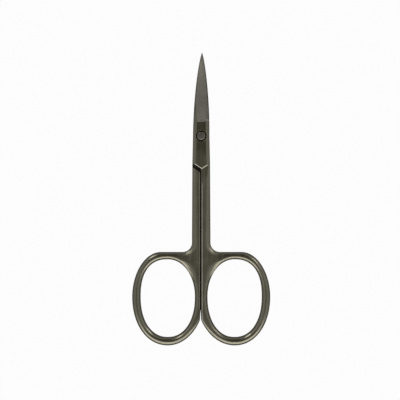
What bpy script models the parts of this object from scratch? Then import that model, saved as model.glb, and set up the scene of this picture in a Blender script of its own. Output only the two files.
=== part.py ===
"""Curved nail scissors, closed: two forged halves that turn on one flat-headed rivet.

Sizes are in metres. The scissors lie on their backs, tips toward +Y, the rivet's head up, and the blades
curve up out of the plane. Every shape is modelled round the pivot's centre. A half starts as a flat blank
with its own shank at -X and its outer face down, which is the lower half. The upper half is the same blank
turned over, as two forgings from one die would be. The blades are curved last, after all cuts.
"""

import math

import bmesh
import bpy
from mathutils import Matrix, Vector

# Whole scissors
BLADE_REACH = 0.0255  # pivot to tips
BOW_LEVEL = 0.0495  # pivot to the level where the bows are widest
THICKNESS = 0.0032  # both laps together, and a shank or bow alone
RUNNING_GAP = 0.00025  # between the laps, and between the blades
CLOSING_GAP = 0.00028  # between the shanks when closed

# Lap, the wide part round the rivet, and the ledge where it ends
LAP_HALF_WIDTH = 0.00253  # at the pivot
LEDGE_REACH = 0.0101  # pivot to the point of the ledge
LEDGE_ANGLE = math.radians(33)  # each leg of the ledge, from straight across
LEDGE_STEP = 0.00012  # the lap stands this much above the shank
LEDGE_ROUND = 0.0003
LEDGE_RUN_SHARE = 3.0  # run of the ledge's slope, in steps
NOTCH_DROP = 0.0014  # from the other half's ledge to this half's full thickness

# Blade
GRIND_START = 0.0042  # pivot to the step where the ground face begins
GRIND_LEAN_SHARE = 0.6  # lean of the step's wall, as run over depth
STRIP_SHARE = 0.51  # of the lap's half width, axis to the strip left unground
EDGE_THICKNESS = 0.00045  # ground blade at the edge, before its bevel
TIP_THICKNESS = 0.00045
EDGE_SETBACK_SHARE = 0.17  # of the spine's distance from the axis
EDGE_RUN_IN = 0.0012  # length over which the edge draws in from the lap
EDGE_LAND = 0.00004  # flat left under the bevel
EDGE_ANGLE = math.radians(45)
TAPER_POWER = 1.9
POINT_POWER = 0.78
HOLLOW_START = 0.0056  # pivot to the hollow ground in the mating face
HOLLOW_RADIUS = 0.010
HOLLOW_DEPTH = 0.00013
HOLLOW_END_SHARE = 0.92  # of the blade's reach, where the hollow runs out
BEND_START = 0.0050
BEND_RADIUS = 0.060
TIP_LEAN = 0.00025  # the closed pair leans this far to +X at the tips

# Shank
SHANK_SPREAD_TOP = 0.00272  # axis to the outer edge, below the ledge
SHANK_SPREAD_FOOT = 0.00285  # axis to the outer edge, above the bow
EDGE_ROUND = 0.0010
EDGE_ROUND_HEIGHT_SHARE = 0.25  # of the thickness
CLOSING_ROUND = 0.0002
FILLET_RADIUS = 0.0029  # between shank and bow

# Bow, the finger ring
HOLE_WIDTH = 0.0167
HOLE_RISE = 0.0115  # widest level to the top of the hole
HOLE_DROP = 0.0124  # widest level to the bottom of the hole
RIM_SIDE = 0.0026
RIM_INNER = 0.0018  # hole to closing face
RIM_TOP = 0.00225
RIM_FOOT = 0.0026
TOP_BAR_REACH = 0.0133  # axis to the end of the straight top edge
LAND_DROP = 0.0052  # widest level to the end of the closing land
CORNER_DROP = 0.0072  # widest level to the corner where the bows part
CORNER_RELIEF = 0.00025  # opening beside that corner
BOW_ROUND_SHARE = 0.45  # of the rim's width
BOW_ROUND_HEIGHT_SHARE = 0.42  # of the thickness
HOLE_CORNER_POWER = 2.4  # outer top quarter of the hole
HOLE_POWER = 2.05
BOW_CORNER_POWER = 1.9  # outer top quarter of the bow
BOW_POWER = 2.0

# Rivet
RIVET_DIAMETER = 0.0015
HEAD_DIAMETER = 0.0027
HEAD_RING_GAP = 0.00033  # open ring round the head
HEAD_THICKNESS = 0.00055
HEAD_ROUND = 0.0002
TAIL_DIAMETER = 0.0022
TAIL_THICKNESS = 0.00045
SEAT_CLEARANCE = 0.00025
FACE_INSET = 0.00005  # head and tail below the laps' faces

# Cutters and fineness
OVERRUN = 0.0005
ROUND_STEPS = 4
QUARTER_STEPS = 12
EDGE_STEPS = 18
TURN_STEPS = 40
HOLLOW_STEPS = 180
SLICE_LENGTH = 0.0013
MERGE_DISTANCE = 1e-7
SMOOTH_ANGLE = math.radians(32)

# Worked out from the sizes above
LAP_THICKNESS = (THICKNESS - RUNNING_GAP) / 2
HALF_GAP = CLOSING_GAP / 2
HOLE_CENTRE = HALF_GAP + RIM_INNER + HOLE_WIDTH / 2
BAR_LEVEL = BOW_LEVEL - HOLE_RISE - RIM_TOP
BOW_REACH = BOW_LEVEL + HOLE_DROP + RIM_FOOT
BOW_SPREAD = HOLE_CENTRE + HOLE_WIDTH / 2 + RIM_SIDE
PIVOT_Y = (BOW_REACH - BLADE_REACH) / 2
LEDGE_SLOPE = math.tan(LEDGE_ANGLE)

ROUND_EDGE = (EDGE_ROUND, EDGE_ROUND_HEIGHT_SHARE * THICKNESS)
ROUND_CLOSING = (CLOSING_ROUND, CLOSING_ROUND)
ROUND_LEDGE = (LEDGE_ROUND, LEDGE_ROUND)

STEEL = (0.145, 0.137, 0.112, 1.0)
RIVET_STEEL = (0.125, 0.122, 0.102, 1.0)
STEEL_ROUGHNESS = 0.38
RIVET_ROUGHNESS = 0.42


# Scene and materials


def clear_scene():
    for obj in list(bpy.data.objects):
        bpy.data.objects.remove(obj, do_unlink=True)
    for collection in list(bpy.data.collections):
        bpy.data.collections.remove(collection)


def new_collection(name):
    collection = bpy.data.collections.new(name)
    bpy.context.scene.collection.children.link(collection)
    return collection


def metal(name, colour, roughness):
    material = bpy.data.materials.new(name)
    material.use_nodes = True
    shader = material.node_tree.nodes["Principled BSDF"]
    shader.inputs["Base Color"].default_value = colour
    shader.inputs["Metallic"].default_value = 1.0
    shader.inputs["Roughness"].default_value = roughness
    return material


def new_object(name, bm, collection):
    """Make an object of a bmesh and free it."""
    bmesh.ops.recalc_face_normals(bm, faces=bm.faces)
    mesh = bpy.data.meshes.new(name)
    bm.to_mesh(mesh)
    bm.free()
    obj = bpy.data.objects.new(name, mesh)
    collection.objects.link(obj)
    return obj


def new_cutter(name, bm, collection):
    cutter = new_object(name, bm, collection)
    cutter.hide_render = True
    cutter.display_type = "WIRE"
    return cutter


# Outline of a half, in the plane


def spine_distance(y):
    """Axis to the spine, at this height above the pivot."""
    share = min(max(y / BLADE_REACH, 0), 1)
    return LAP_HALF_WIDTH * (1 - share**TAPER_POWER) ** POINT_POWER


def edge_distance(y):
    """Axis to the cutting edge, which draws in from the lap's side past the grind step."""
    share = min(max((y - GRIND_START) / EDGE_RUN_IN, 0), 1)
    ease = share * share * (3 - 2 * share)
    return spine_distance(y) * (1 - EDGE_SETBACK_SHARE * ease)


def blade_levels():
    """Heights above the pivot from the lap to the tip, closer together at the tip and at the run in."""
    plain = [BLADE_REACH * math.sin(math.pi / 2 * i / EDGE_STEPS) for i in range(EDGE_STEPS + 1)]
    run_in = [GRIND_START + EDGE_RUN_IN * i / ROUND_STEPS for i in range(ROUND_STEPS + 1)]
    kept = [y for y in plain if not GRIND_START - EDGE_RUN_IN / 2 < y < run_in[-1] + EDGE_RUN_IN / 2]
    return sorted(kept + run_in)


def blade_round(y):
    """The long edges' rounding, narrowing with the blade."""
    share = spine_distance(y) / LAP_HALF_WIDTH
    return (ROUND_EDGE[0] * share, ROUND_EDGE[1] * share)


def quarter(centre, half_width, half_height, power, start, end):
    """Points of a superellipse between two angles in degrees."""
    points = []
    for i in range(QUARTER_STEPS + 1):
        angle = math.radians(start + (end - start) * i / QUARTER_STEPS)
        across = math.copysign(abs(math.cos(angle)) ** (2 / power), math.cos(angle))
        up = math.copysign(abs(math.sin(angle)) ** (2 / power), math.sin(angle))
        points.append(Vector((centre[0] + half_width * across, centre[1] + half_height * up)))
    return points


def run(points, first, last):
    """One stretch of outline: points, with a rounding that changes evenly from the first to the last."""
    count = len(points) - 1
    rounds = []
    for i in range(count + 1):
        share = i / count
        rounds.append(tuple(a + (b - a) * share for a, b in zip(first, last)))
    return points, rounds


def rim_round(rim):
    return (BOW_ROUND_SHARE * rim, BOW_ROUND_HEIGHT_SHARE * THICKNESS)


def half_outline():
    """The edge of the lower half as runs, anticlockwise from the tip down its cutting edge."""
    levels = blade_levels()
    ledge_side = -LEDGE_REACH + LEDGE_SLOPE * (SHANK_SPREAD_TOP + HALF_GAP)
    fillet_centre = Vector((-SHANK_SPREAD_FOOT - FILLET_RADIUS, -BAR_LEVEL + FILLET_RADIUS))
    widest = (-HOLE_CENTRE, -BOW_LEVEL)
    corner = Vector((-HALF_GAP - CORNER_RELIEF, -BOW_LEVEL - CORNER_DROP))
    foot_drop = HOLE_DROP + RIM_FOOT
    corner_angle = -math.degrees(math.asin(CORNER_DROP / foot_drop))
    inner_width = (HOLE_CENTRE + corner.x) / math.cos(math.radians(corner_angle))
    corner_mid_angle = (corner_angle * 2 - 90) / 3

    edge_points = [Vector((-edge_distance(y), y)) for y in reversed(levels)]
    edge_rounds = [blade_round(y) for y in reversed(levels)]
    spine_points = [Vector((spine_distance(y), y)) for y in levels]
    spine_rounds = [blade_round(y) for y in levels]
    shank = [
        Vector((-LAP_HALF_WIDTH, 0)),
        Vector((-SHANK_SPREAD_TOP, ledge_side)),
        Vector((-SHANK_SPREAD_FOOT, fillet_centre.y)),
    ]
    fillet = quarter(fillet_centre, FILLET_RADIUS, FILLET_RADIUS, 2, 0, -90)
    bar = [fillet[-1], Vector((-TOP_BAR_REACH, -BAR_LEVEL))]
    shoulder = quarter(
        (-TOP_BAR_REACH, -BOW_LEVEL),
        BOW_SPREAD - TOP_BAR_REACH,
        HOLE_RISE + RIM_TOP,
        BOW_CORNER_POWER,
        90,
        180,
    )
    outer_foot = quarter(widest, HOLE_WIDTH / 2 + RIM_SIDE, foot_drop, BOW_POWER, 180, 270)
    inner_foot = quarter(widest, inner_width, foot_drop, BOW_POWER, -90, corner_mid_angle)
    last_foot = quarter(widest, inner_width, foot_drop, BOW_POWER, corner_mid_angle, corner_angle)
    land_end = Vector((-HALF_GAP, -BOW_LEVEL - LAND_DROP))
    point = Vector((-HALF_GAP, -LEDGE_REACH))
    ledge_corner = Vector((SHANK_SPREAD_TOP, ledge_side))
    return [
        (edge_points, edge_rounds),
        run(shank, ROUND_EDGE, ROUND_EDGE),
        run(fillet, ROUND_EDGE, ROUND_EDGE),
        run(bar, ROUND_EDGE, rim_round(RIM_TOP)),
        run(shoulder, rim_round(RIM_TOP), rim_round(RIM_SIDE)),
        run(outer_foot, rim_round(RIM_SIDE), rim_round(RIM_FOOT)),
        run(inner_foot, rim_round(RIM_FOOT), rim_round(RIM_FOOT)),
        run(last_foot, rim_round(RIM_FOOT), ROUND_CLOSING),
        run([corner, land_end], ROUND_CLOSING, ROUND_CLOSING),
        run([land_end, point], ROUND_CLOSING, ROUND_CLOSING),
        run([point, ledge_corner], ROUND_LEDGE, ROUND_LEDGE),
        run([ledge_corner, spine_points[0]], ROUND_EDGE, ROUND_EDGE),
        (spine_points, spine_rounds),
    ]


def hole_outline():
    """The finger hole's edge as runs, clockwise from its outer side."""
    centre = (-HOLE_CENTRE, -BOW_LEVEL)
    half_width = HOLE_WIDTH / 2
    side, top, foot = rim_round(RIM_SIDE), rim_round(RIM_TOP), rim_round(RIM_FOOT)
    inner = rim_round(RIM_TOP)
    return [
        run(quarter(centre, half_width, HOLE_RISE, HOLE_CORNER_POWER, 180, 90), side, top),
        run(quarter(centre, half_width, HOLE_RISE, HOLE_POWER, 90, 0), top, inner),
        run(quarter(centre, half_width, HOLE_DROP, HOLE_POWER, 0, -90), inner, foot),
        run(quarter(centre, half_width, HOLE_DROP, HOLE_POWER, -90, -180), foot, side),
    ]


# Blank with a rounding that changes along its edge


def left_of(a, b):
    """Unit normal to the left of the way from a to b, which is into the metal."""
    way = (b - a).normalized()
    return Vector((-way.y, way.x))


def inward_shift(before, after, width_before, width_after):
    """The shift that lies one width inside the stretch before a point and another inside the stretch after."""
    alike = before.dot(after)
    mean = (width_before + width_after) / 2
    shift = mean * (before + after) / (1 + alike) if mean else Vector((0, 0))
    if abs(width_after - width_before) > MERGE_DISTANCE:
        shift += (width_after - width_before) / 2 * (after - before) / (1 - alike)
    return shift


def joined(runs):
    """All runs as one closed loop of (point, inward shift, rounding height)."""
    loop = []
    for (last_points, last_rounds), (points, rounds) in zip(runs[-1:] + runs[:-1], runs):
        for i in range(len(points) - 1):
            previous = points[i - 1] if i else last_points[-2]
            round_before = rounds[i] if i else last_rounds[-1]
            before = left_of(previous, points[i])
            after = left_of(points[i], points[i + 1])
            shift = inward_shift(before, after, round_before[0], rounds[i][0])
            loop.append((points[i], shift, (round_before[1] + rounds[i][1]) / 2))
    return loop


def add_wall(bm, loop):
    """The side of the blank along one loop, rounded below and above."""
    turns = [math.pi / 2 * i / ROUND_STEPS for i in range(ROUND_STEPS + 1)]
    rings = []
    for turn in reversed(turns):
        rings.append([(*(p + s * (1 - math.cos(turn))), h * (1 - math.sin(turn))) for p, s, h in loop])
    for turn in turns:
        top = [(*(p + s * (1 - math.cos(turn))), THICKNESS - h * (1 - math.sin(turn))) for p, s, h in loop]
        rings.append(top)
    verts = [[bm.verts.new(co) for co in ring] for ring in rings]
    count = len(loop)
    for low, high in zip(verts, verts[1:]):
        for i in range(count):
            bm.faces.new((low[i - 1], low[i], high[i], high[i - 1]))


def forging_blank(name, collection):
    """The whole half before any cut: full thickness everywhere, with its finger hole."""
    bm = bmesh.new()
    for runs in (half_outline(), hole_outline()):
        add_wall(bm, joined(runs))
    bmesh.ops.remove_doubles(bm, verts=bm.verts, dist=MERGE_DISTANCE)
    for level in (0, THICKNESS):
        rims = [
            edge
            for edge in bm.edges
            if edge.is_boundary and all(abs(v.co.z - level) < MERGE_DISTANCE for v in edge.verts)
        ]
        bmesh.ops.triangle_fill(bm, use_beauty=True, edges=rims, normal=(0, 0, 1))
    return new_object(name, bm, collection)


# Cutters


def loft(sections):
    """A closed body through sections of equally many points."""
    bm = bmesh.new()
    verts = [[bm.verts.new(co) for co in section] for section in sections]
    for low, high in zip(verts, verts[1:]):
        for i in range(len(low)):
            bm.faces.new((low[i - 1], low[i], high[i], high[i - 1]))
    bm.faces.new(verts[0])
    bm.faces.new(verts[-1])
    return bm


def cylinder(radius, low, high, steps):
    bm = bmesh.new()
    place = Matrix.Translation((0, 0, (low + high) / 2))
    bmesh.ops.create_cone(
        bm,
        cap_ends=True,
        segments=steps,
        radius1=radius,
        radius2=radius,
        depth=high - low,
        matrix=place,
    )
    return bm


def mating_recess():
    """Takes the upper half of the thickness off lap and blade, up to the notch's slanted wall."""
    side = LAP_HALF_WIDTH + SHANK_SPREAD_TOP
    apex = -LEDGE_REACH - NOTCH_DROP + LEDGE_SLOPE * HALF_GAP
    outline = [
        (-side, apex + LEDGE_SLOPE * side),
        (side, apex - LEDGE_SLOPE * side),
        (side, BLADE_REACH + OVERRUN),
        (-side, BLADE_REACH + OVERRUN),
    ]
    return loft([[(x, y, z) for x, y in outline] for z in (LAP_THICKNESS, THICKNESS + OVERRUN)])


def ground_level(x, y):
    """Height of the ground outer face: it falls away toward the edge and toward the tip."""
    strip = STRIP_SHARE * LAP_HALF_WIDTH
    edge = edge_distance(GRIND_START + EDGE_RUN_IN)
    across = (LAP_THICKNESS - EDGE_THICKNESS) / (strip + edge)
    along = (LAP_THICKNESS - TIP_THICKNESS - across * strip) / (BLADE_REACH - GRIND_START)
    return across * (strip - x) + along * (y - GRIND_START)


def face_grind():
    """The wheel's cut on the outer face, ending in a leaning step across the lap."""
    side = LAP_HALF_WIDTH + OVERRUN
    end = BLADE_REACH + OVERRUN
    sections = []
    for x in (-side, side):
        level = ground_level(x, GRIND_START)
        sections.append(
            [
                (x, GRIND_START - GRIND_LEAN_SHARE * THICKNESS, -THICKNESS),
                (x, end, -THICKNESS),
                (x, end, ground_level(x, end)),
                (x, GRIND_START + GRIND_LEAN_SHARE * level, level),
            ]
        )
    return loft(sections)


def shank_relief():
    """Lowers the shank's outer face at the ledge's own leg and runs out to nothing at the bow."""
    fall = LEDGE_STEP / (BAR_LEVEL - LEDGE_REACH)
    below = LEDGE_STEP
    sections = []
    for x in (-SHANK_SPREAD_FOOT - OVERRUN, OVERRUN):
        leg = -LEDGE_REACH - LEDGE_SLOPE * (x + HALF_GAP)
        sections.append(
            [
                (x, leg + LEDGE_RUN_SHARE * below, -below),
                (x, leg - LEDGE_RUN_SHARE * LEDGE_STEP, LEDGE_STEP),
                (x, -BAR_LEVEL - below / fall, -below),
            ]
        )
    return loft(sections)


def edge_bevel():
    """A long wedge along the cutting edge, on its outer side."""
    step_foot = GRIND_START + GRIND_LEAN_SHARE * (LAP_THICKNESS - EDGE_THICKNESS)
    levels = [step_foot] + [y for y in blade_levels() if y > step_foot]
    points = [Vector((-edge_distance(y), y)) for y in levels]
    points.append(points[-1] + (points[-1] - points[-2]).normalized() * OVERRUN)
    deep = EDGE_THICKNESS + OVERRUN
    slope = math.tan(EDGE_ANGLE)
    top = LAP_THICKNESS - EDGE_LAND
    sections = []
    for i, point in enumerate(points):
        before, after = points[max(i - 1, 0)], points[min(i + 1, len(points) - 1)]
        out = left_of(before, after)
        outside, inside = point + out * OVERRUN, point - out * deep
        sections.append(
            [
                (*outside, top + OVERRUN * slope),
                (*inside, top - deep * slope),
                (*outside, top - deep * slope),
            ]
        )
    return loft(sections)


def hollow_grind():
    """A large cylinder laid along the mating face, shallower toward the tip."""
    start_x = (spine_distance(HOLLOW_START) - edge_distance(HOLLOW_START)) / 2
    start = Vector((start_x, HOLLOW_START, LAP_THICKNESS + HOLLOW_RADIUS - HOLLOW_DEPTH))
    end = Vector((0, BLADE_REACH * HOLLOW_END_SHARE, LAP_THICKNESS + HOLLOW_RADIUS))
    bm = cylinder(HOLLOW_RADIUS, 0, BLADE_REACH, HOLLOW_STEPS)
    turn = (end - start).to_track_quat("Z", "X").to_matrix().to_4x4()
    bm.transform(Matrix.Translation(start) @ turn)
    return bm


def rivet_seat(diameter, thickness):
    """Room for a head or tail in a lap's outer face."""
    radius = diameter / 2
    return cylinder(radius, -OVERRUN, FACE_INSET + thickness + SEAT_CLEARANCE, TURN_STEPS)


def rivet_bore():
    radius = RIVET_DIAMETER / 2 + SEAT_CLEARANCE
    return cylinder(radius, -OVERRUN, THICKNESS + OVERRUN, TURN_STEPS)


# The two halves


def cut(obj, cutters):
    """Take the cutters off an object and keep the result as its mesh."""
    for cutter in cutters:
        modifier = obj.modifiers.new(cutter.name, "BOOLEAN")
        modifier.operation = "DIFFERENCE"
        modifier.solver = "EXACT"
        modifier.object = cutter
    bpy.context.view_layer.update()
    evaluated = obj.evaluated_get(bpy.context.evaluated_depsgraph_get())
    mesh = bpy.data.meshes.new_from_object(evaluated)
    obj.modifiers.clear()
    obj.data = mesh
    mesh.name = obj.name


def rise(distance):
    """How far the curved blade has risen at this distance from the pivot."""
    along = max(distance - BEND_START, 0)
    return BEND_RADIUS - math.sqrt(BEND_RADIUS**2 - along**2)


def curve_blade(mesh):
    """Slice the blade across, then raise each point by its distance from the pivot.

    Both mating faces become the same surface of revolution round the rivet, so the blades pass each other.
    """
    bm = bmesh.new()
    bm.from_mesh(mesh)
    level = BEND_START
    while level < BLADE_REACH:
        parts = bm.verts[:] + bm.edges[:] + bm.faces[:]
        bmesh.ops.bisect_plane(bm, geom=parts, plane_co=(0, level, 0), plane_no=(0, 1, 0))
        level += SLICE_LENGTH
    bmesh.ops.triangulate(bm, faces=bm.faces)
    for vert in bm.verts:
        if vert.co.y > 0:
            vert.co.x += TIP_LEAN * vert.co.y / BLADE_REACH
            vert.co.z += rise(math.hypot(vert.co.x, vert.co.y))
    bm.to_mesh(mesh)
    bm.free()


def finish(obj, material):
    obj.data.materials.clear()
    obj.data.materials.append(material)
    obj.data.shade_smooth()
    obj.data.set_sharp_from_angle(angle=SMOOTH_ANGLE)
    obj.location = (0, PIVOT_Y, 0)


def forged_half(name, cutters, parts, material, turned_over):
    half = forging_blank(name, parts)
    cut(half, cutters)
    if turned_over:
        over = Matrix.Translation((0, 0, THICKNESS)) @ Matrix.Rotation(math.pi, 4, "Y")
        half.data.transform(over)
    curve_blade(half.data)
    finish(half, material)
    return half


# Rivet


def rivet_profile():
    """Half section, from the middle of the head down the outer side to the middle of the tail."""
    top = THICKNESS - FACE_INSET
    under_head = top - HEAD_THICKNESS
    tail_top = FACE_INSET + TAIL_THICKNESS
    head, pin, tail = HEAD_DIAMETER / 2, RIVET_DIAMETER / 2, TAIL_DIAMETER / 2
    points = [(0, top)]
    for i in range(ROUND_STEPS + 1):
        turn = math.pi / 2 * i / ROUND_STEPS
        across = head - HEAD_ROUND * (1 - math.sin(turn))
        points.append((across, top - HEAD_ROUND * (1 - math.cos(turn))))
    points += [(head, under_head), (pin, under_head), (pin, tail_top), (tail, tail_top)]
    points += [(tail, FACE_INSET), (0, FACE_INSET)]
    return points


def make_rivet(parts, material):
    bm = bmesh.new()
    verts = [bm.verts.new((x, 0, z)) for x, z in rivet_profile()]
    for a, b in zip(verts, verts[1:]):
        bm.edges.new((a, b))
    rivet = new_object("pivot_rivet", bm, parts)
    screw = rivet.modifiers.new("turned", "SCREW")
    screw.axis = "Z"
    screw.steps = TURN_STEPS
    screw.render_steps = TURN_STEPS
    screw.use_merge_vertices = True
    screw.merge_threshold = MERGE_DISTANCE
    screw.use_smooth_shade = True
    finish(rivet, material)
    return rivet


def main():
    clear_scene()
    parts = new_collection("curved_nail_scissors")
    cutters = new_collection("cutters")
    steel = metal("satin_gunmetal", STEEL, STEEL_ROUGHNESS)
    rivet_steel = metal("rivet_gunmetal", RIVET_STEEL, RIVET_ROUGHNESS)

    shared = [
        new_cutter("mating_recess", mating_recess(), cutters),
        new_cutter("face_grind", face_grind(), cutters),
        new_cutter("shank_relief", shank_relief(), cutters),
        new_cutter("edge_bevel", edge_bevel(), cutters),
        new_cutter("hollow_grind", hollow_grind(), cutters),
        new_cutter("rivet_bore", rivet_bore(), cutters),
    ]
    head_room = HEAD_DIAMETER + 2 * HEAD_RING_GAP
    tail_room = TAIL_DIAMETER + 2 * SEAT_CLEARANCE
    head_seat = new_cutter("head_seat", rivet_seat(head_room, HEAD_THICKNESS), cutters)
    tail_seat = new_cutter("tail_seat", rivet_seat(tail_room, TAIL_THICKNESS), cutters)

    forged_half("rear_half", shared + [tail_seat], parts, steel, False)
    forged_half("front_half", shared + [head_seat], parts, steel, True)
    make_rivet(parts, rivet_steel)


main()
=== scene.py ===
"""Looks of the curved nail scissors, seen from above on a white table.

Two gunmetal forgings turn on a flush rivet. Sizes are in metres and name the same things as in the
model's own source. Each half is forged, ground and curved again here with finer steps and closer
running gaps, and every cut leaves its own finish on the metal; some of these finishes are painted
shade or a painted highlight.
"""

import math

import bmesh
import bpy
from mathutils import Matrix, Vector


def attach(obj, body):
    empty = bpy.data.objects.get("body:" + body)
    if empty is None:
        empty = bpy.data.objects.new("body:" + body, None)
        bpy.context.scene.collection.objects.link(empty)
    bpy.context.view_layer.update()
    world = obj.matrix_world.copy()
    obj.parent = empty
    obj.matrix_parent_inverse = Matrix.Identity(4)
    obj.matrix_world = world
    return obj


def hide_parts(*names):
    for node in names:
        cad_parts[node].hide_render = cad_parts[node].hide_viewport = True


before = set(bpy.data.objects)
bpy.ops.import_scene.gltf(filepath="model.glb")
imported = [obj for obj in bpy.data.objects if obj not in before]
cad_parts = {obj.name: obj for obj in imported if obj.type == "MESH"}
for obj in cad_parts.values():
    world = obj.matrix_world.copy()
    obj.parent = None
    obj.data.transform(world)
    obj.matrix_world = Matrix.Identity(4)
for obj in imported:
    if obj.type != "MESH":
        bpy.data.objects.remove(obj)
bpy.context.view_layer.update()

# Whole scissors
BLADE_REACH = 0.0255
BOW_LEVEL = 0.0495
THICKNESS = 0.0032
RUNNING_GAP = 0.00008
CLOSING_GAP = 0.0000001
CLOSING_SHIFT = 0.0002

# Lap and ledge
LAP_HALF_WIDTH = 0.00253
LEDGE_REACH = 0.01014
LEDGE_ANGLE = math.radians(33)
LEDGE_STEP = 0.00016
LEDGE_ROUND = 0.00048
LEDGE_RUN_SHARE = 2.4
RELIEF_LENGTH = 0.006
NOTCH_DROP = 0.0012
NOTCH_SINK = 0.00002
NOTCH_UNDER = 0.0003

# Blade
GRIND_START = 0.00424
GRIND_LEAN_SHARE = 0.1
STRIP_SHARE = 0.51
EDGE_THICKNESS = 0.00045
TIP_THICKNESS = 0.00034
EDGE_SETBACK_SHARE = 0.17
EDGE_RUN_IN = 0.0012
EDGE_LAND = 0.00004
EDGE_ANGLE = math.radians(30)
SPINE_LAND = 0.00034
SPINE_BREAK = 0.00024
BREAK_SHARE = 0.35
BREAK_ANGLE = math.radians(62)
SPINE_ROUND = 0.00042
SPINE_ROUND_HEIGHT = 0.0008
SPINE_ROUND_START = 0.0055
SPINE_ROUND_RUN = 0.0022
TAPER_POWER = 1.9
POINT_POWER = 0.78
HOLLOW_START = 0.0056
HOLLOW_RADIUS = 0.010
HOLLOW_DEPTH = 0.00013
HOLLOW_END_SHARE = 0.92
BEND_START = 0.0050
BEND_RADIUS = 0.060
TIP_LEAN = 0.00025

# Shank
SHANK_SPREAD_TOP = 0.00272
SHANK_SPREAD_FOOT = 0.00285
EDGE_ROUND = 0.0013
EDGE_ROUND_HEIGHT_SHARE = 0.27
FOOT_ROUND = 0.0019
FOOT_ROUND_HEIGHT = 0.0009
FOOT_ROUND_END = 0.0080
# Widths in from the closing face, mating side: painted shade up to the first, a painted highlight
# from the second to the third.
CLOSING_BANDS = (0.00018, 0.00018, 0.00036)
CLOSING_ROUND = 0.00036
CLOSING_ROUND_HEIGHT = 0.0012
# The same bands on the outer face's side.
FACE_CLOSING_BANDS = (0.0003, 0.0004, 0.00072)
FACE_CLOSING_SHARE = 0.33
FACE_CLOSING_ROUND_HEIGHT = 0.0007
FILLET_RADIUS = 0.0029

# Bow, the finger ring
HOLE_WIDTH = 0.0167
HOLE_RISE = 0.0115
HOLE_DROP = 0.0124
RIM_SIDE = 0.0026
RIM_INNER = 0.001937
RIM_TOP = 0.00225
RIM_FOOT = 0.0026
TOP_BAR_REACH = 0.0125
LAND_DROP = 0.0039
CORNER_DROP = 0.0072
CORNER_RELIEF = 0.0002
BOW_ROUND_SHARE = 0.455
BOW_ROUND_HEIGHT_SHARE = 0.42
INNER_ROUND = 0.0011
WEB_ROUND = 0.0028
WEB_ROUND_HEIGHT = 0.0008
WEB_START = 65
WEB_MIDDLE = 42
WEB_END = 22
HOLE_CORNER_POWER = 2.4
HOLE_POWER = 2.05
BOW_CORNER_POWER = 1.96
BOW_POWER = 2.0
OUTER_FOOT_POWER = 2.1
HOLE_FOOT_POWER = 2.18

# Rivet
RIVET_DIAMETER = 0.0015
HEAD_DIAMETER = 0.00267
HEAD_RING_GAP = 0.00023
HEAD_THICKNESS = 0.00055
HEAD_ROUND = 0.00035
TAIL_DIAMETER = 0.0022
TAIL_THICKNESS = 0.00045
SEAT_CLEARANCE = 0.00012
FACE_INSET = 0.00005
MOUTH_WIDTH = 0.0002
MOUTH_DEPTH = 0.00012

# Cutters and fineness
OVERRUN = 0.0005
ROUND_STEPS = 10
QUARTER_STEPS = 28
EDGE_STEPS = 34
TURN_STEPS = 96
HOLLOW_STEPS = 720
SLICE_LENGTH = 0.0005
SWEEP_RADIUS = 0.001
MERGE_DISTANCE = 5e-7
SMOOTH_ANGLE = math.radians(13)

# Worked out from the sizes above
LAP_THICKNESS = (THICKNESS - RUNNING_GAP) / 2
HALF_GAP = CLOSING_GAP / 2
HOLE_CENTRE = HALF_GAP + RIM_INNER + HOLE_WIDTH / 2
BAR_LEVEL = BOW_LEVEL - HOLE_RISE - RIM_TOP
BOW_REACH = BOW_LEVEL + HOLE_DROP + RIM_FOOT
BOW_SPREAD = HOLE_CENTRE + HOLE_WIDTH / 2 + RIM_SIDE
PIVOT_Y = (BOW_REACH - BLADE_REACH) / 2
LEDGE_SLOPE = math.tan(LEDGE_ANGLE)

# Roundings of an edge: width in from the side, and height
ROUND_EDGE = (EDGE_ROUND, EDGE_ROUND_HEIGHT_SHARE * THICKNESS)
ROUND_SPINE = (SPINE_ROUND, SPINE_ROUND_HEIGHT)
ROUND_FOOT = (FOOT_ROUND, FOOT_ROUND_HEIGHT)
ROUND_CLOSING = (CLOSING_ROUND, CLOSING_ROUND_HEIGHT)
ROUND_LEDGE = (LEDGE_ROUND, LEDGE_ROUND)


# Node trees in few words


class Tree:
    """A node tree, with short calls that add a node and join its inputs."""

    def __init__(self, tree):
        self.tree = tree

    def add(self, kind, inputs=(), **settings):
        node = self.tree.nodes.new(kind)
        for name, value in settings.items():
            setattr(node, name, value)
        for socket, value in dict(inputs).items():
            self.feed(node.inputs[socket], value)
        return node

    def feed(self, socket, value):
        if isinstance(value, bpy.types.NodeSocket):
            self.tree.links.new(value, socket)
        else:
            socket.default_value = value

    def math(self, operation, a, b=0.0):
        return self.add("ShaderNodeMath", {0: a, 1: b}, operation=operation).outputs[0]

    def span(self, value, low, high, to_low=0.0, to_high=1.0, smooth=False):
        """Value carried from one span to another and held at its ends."""
        kind = "SMOOTHSTEP" if smooth else "LINEAR"
        inputs = {0: value, 1: low, 2: high, 3: to_low, 4: to_high}
        return self.add("ShaderNodeMapRange", inputs, interpolation_type=kind).outputs[0]

    def xyz(self, vector):
        return self.add("ShaderNodeSeparateXYZ", {0: vector}).outputs

    def vector(self, x, y, z):
        return self.add("ShaderNodeCombineXYZ", {0: x, 1: y, 2: z}).outputs[0]

    def distance(self, across, along):
        squares = [self.math("POWER", way, 2.0) for way in (across, along)]
        return self.math("SQRT", self.math("ADD", *squares))

    def mix(self, share, a, b):
        return self.add("ShaderNodeMix", {0: share, 2: a, 3: b}, data_type="FLOAT").outputs[0]

    def mix_colour(self, share, a, b):
        return self.add("ShaderNodeMix", {0: share, 6: a, 7: b}, data_type="RGBA").outputs[2]

    def noise(self, vector, scale, detail, roughness):
        inputs = {"Vector": vector, "Scale": scale, "Detail": detail, "Roughness": roughness}
        return self.add("ShaderNodeTexNoise", inputs).outputs[0]


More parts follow.
